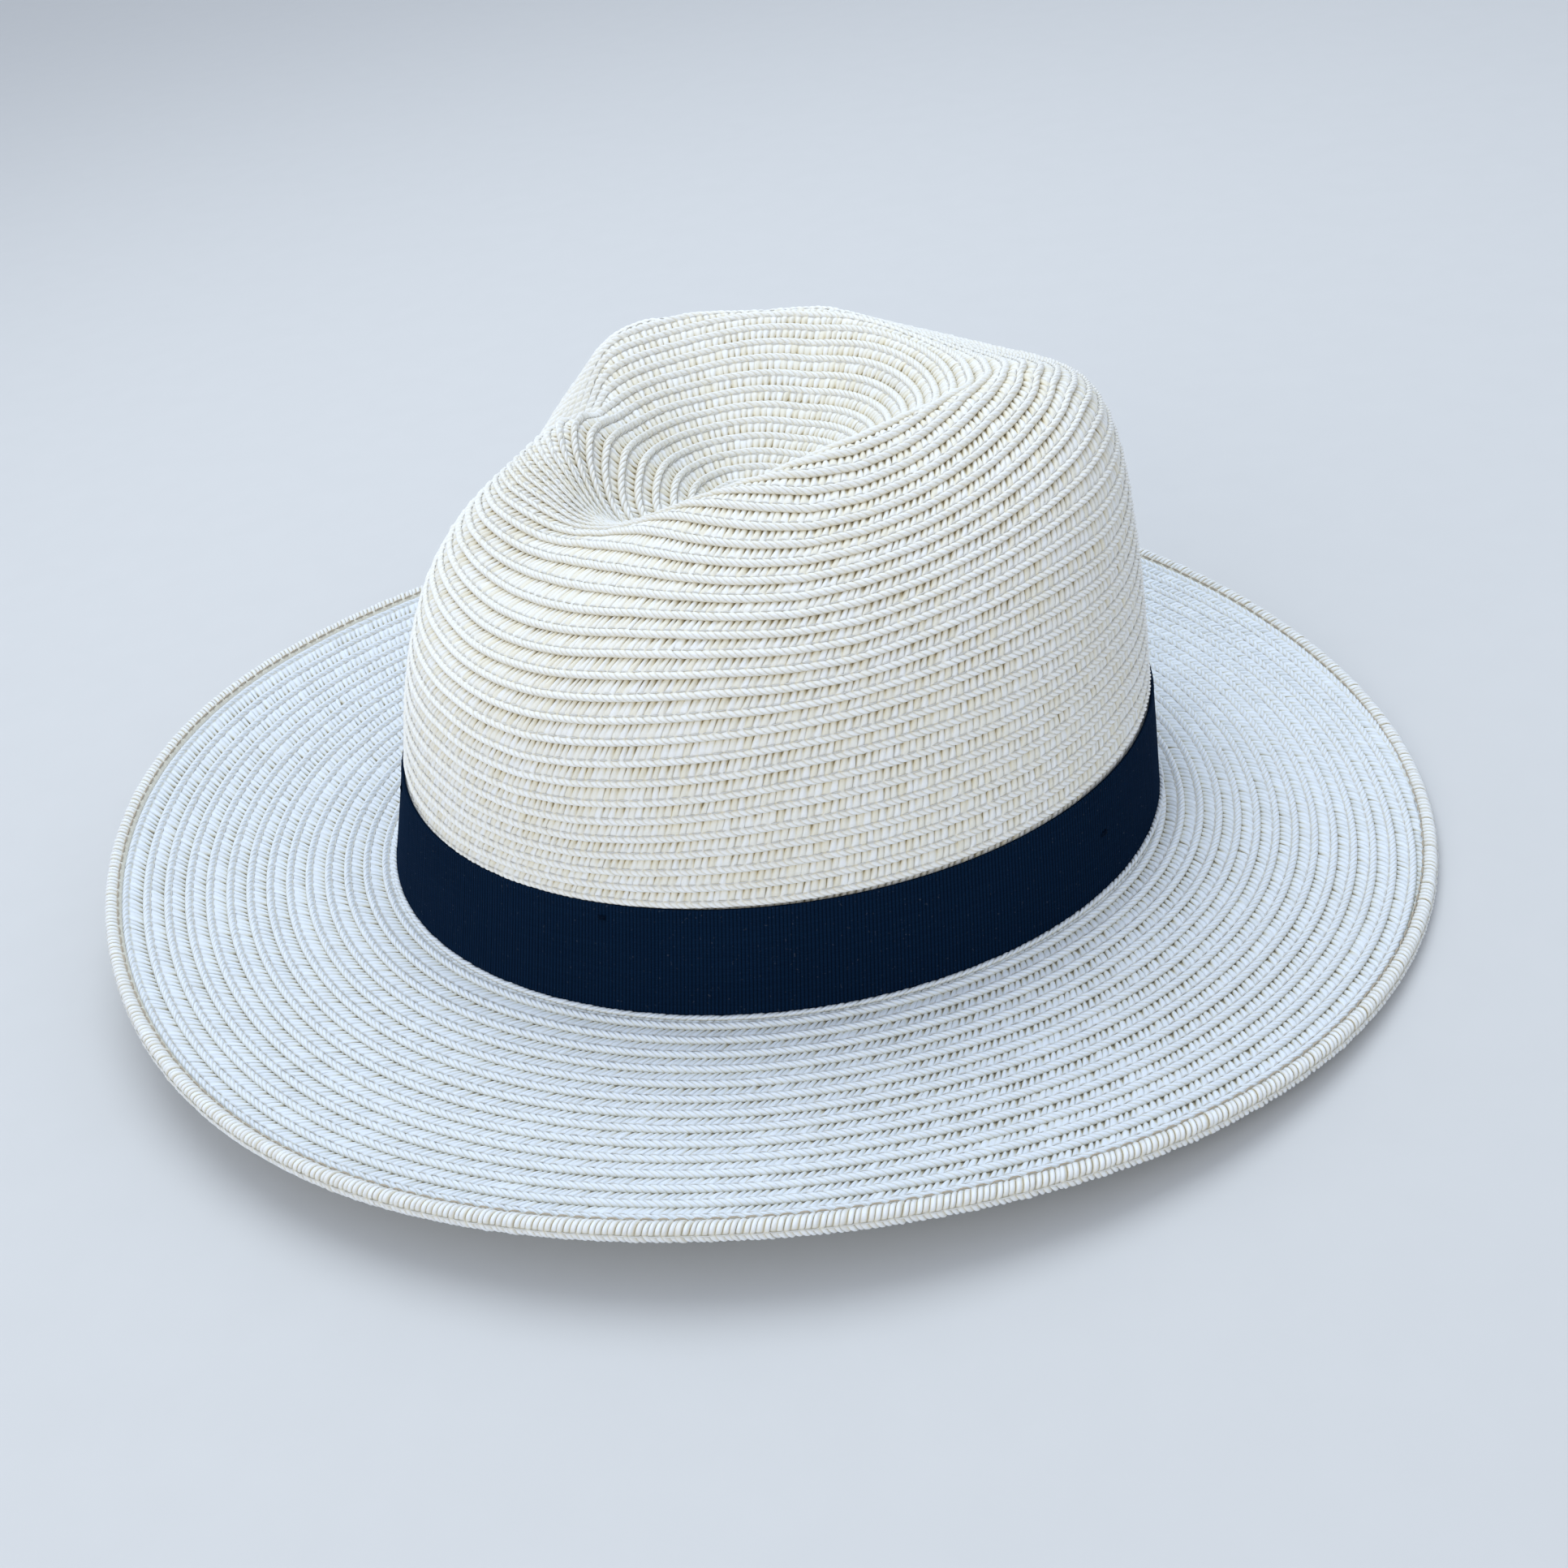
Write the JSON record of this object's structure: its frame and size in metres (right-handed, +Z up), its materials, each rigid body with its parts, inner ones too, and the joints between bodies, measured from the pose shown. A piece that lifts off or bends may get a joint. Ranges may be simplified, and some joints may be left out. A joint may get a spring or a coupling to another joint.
{
  "type": "fedora hat",
  "caption": "Wide-brim fedora sewn from spiral plaited paper straw, with a teardrop dent, pinched front, ribbon hatband, wired brim edge, sweatband, drawcord and care label.",
  "frame": {"origin": "centre of the head opening, in the plane of the break between crown and brim", "axes": "+X towards the front of the hat (pinched end of the crown), +Y the wearer's left, +Z up through the crown"},
  "size_m": [0.3613, 0.3168, 0.1362],
  "materials": {
    "straw_crown": "matt plaited paper straw, warm ivory",
    "straw_brim": "matt plaited paper straw, ivory",
    "straw_edge": "matt plaited paper straw, ivory",
    "brim_wire": "spring wire",
    "wire_sleeve": "crimped",
    "white_thread": "spun polyester thread",
    "navy_grosgrain": "ribbed ribbon, slight sheen",
    "navy_thread": "thread",
    "sweatband_cloth": "woven polyester-cotton tape",
    "eyelet_metal": "pressed eyelet",
    "drawcord_cotton": "braided cord",
    "label_satin": "plain satin, blank"
  },
  "bodies": {
    "hat": {"crown_braid": "straw_crown", "brim_braid": "straw_brim", "brim_edge_braid": "straw_edge", "brim_edge_wire": "brim_wire", "brim_wire_sleeve": "wire_sleeve", "brim_edge_stitching": "white_thread", "crown_brim_seam_thread": "white_thread", "hatband_ribbon": "navy_grosgrain", "hatband_keeper": "navy_grosgrain", "hatband_tack_stitches": "navy_thread", "sweatband": "sweatband_cloth", "sweatband_stitching": "white_thread", "sweatband_eyelets": "eyelet_metal", "size_drawcord": "drawcord_cotton", "care_label_tacks": "white_thread"},
    "tied_cord": {"drawcord_knot": "drawcord_cotton"},
    "label": {"care_label": "label_satin"}
  },
  "joints": [
    {"name": "cord_knot_swing", "type": "hinge", "parent": "hat", "child": "tied_cord", "pos_m": [-0.0959, 0, 0.007], "axis": [0, 1, 0], "range_deg": [0, 85]},
    {"name": "care_label_flip", "type": "hinge", "parent": "hat", "child": "label", "pos_m": [-0.07824, 0.05257, 0.03149], "axis": [0.6957, 0.7183, 0], "range_deg": [0, 100]}
  ]
}
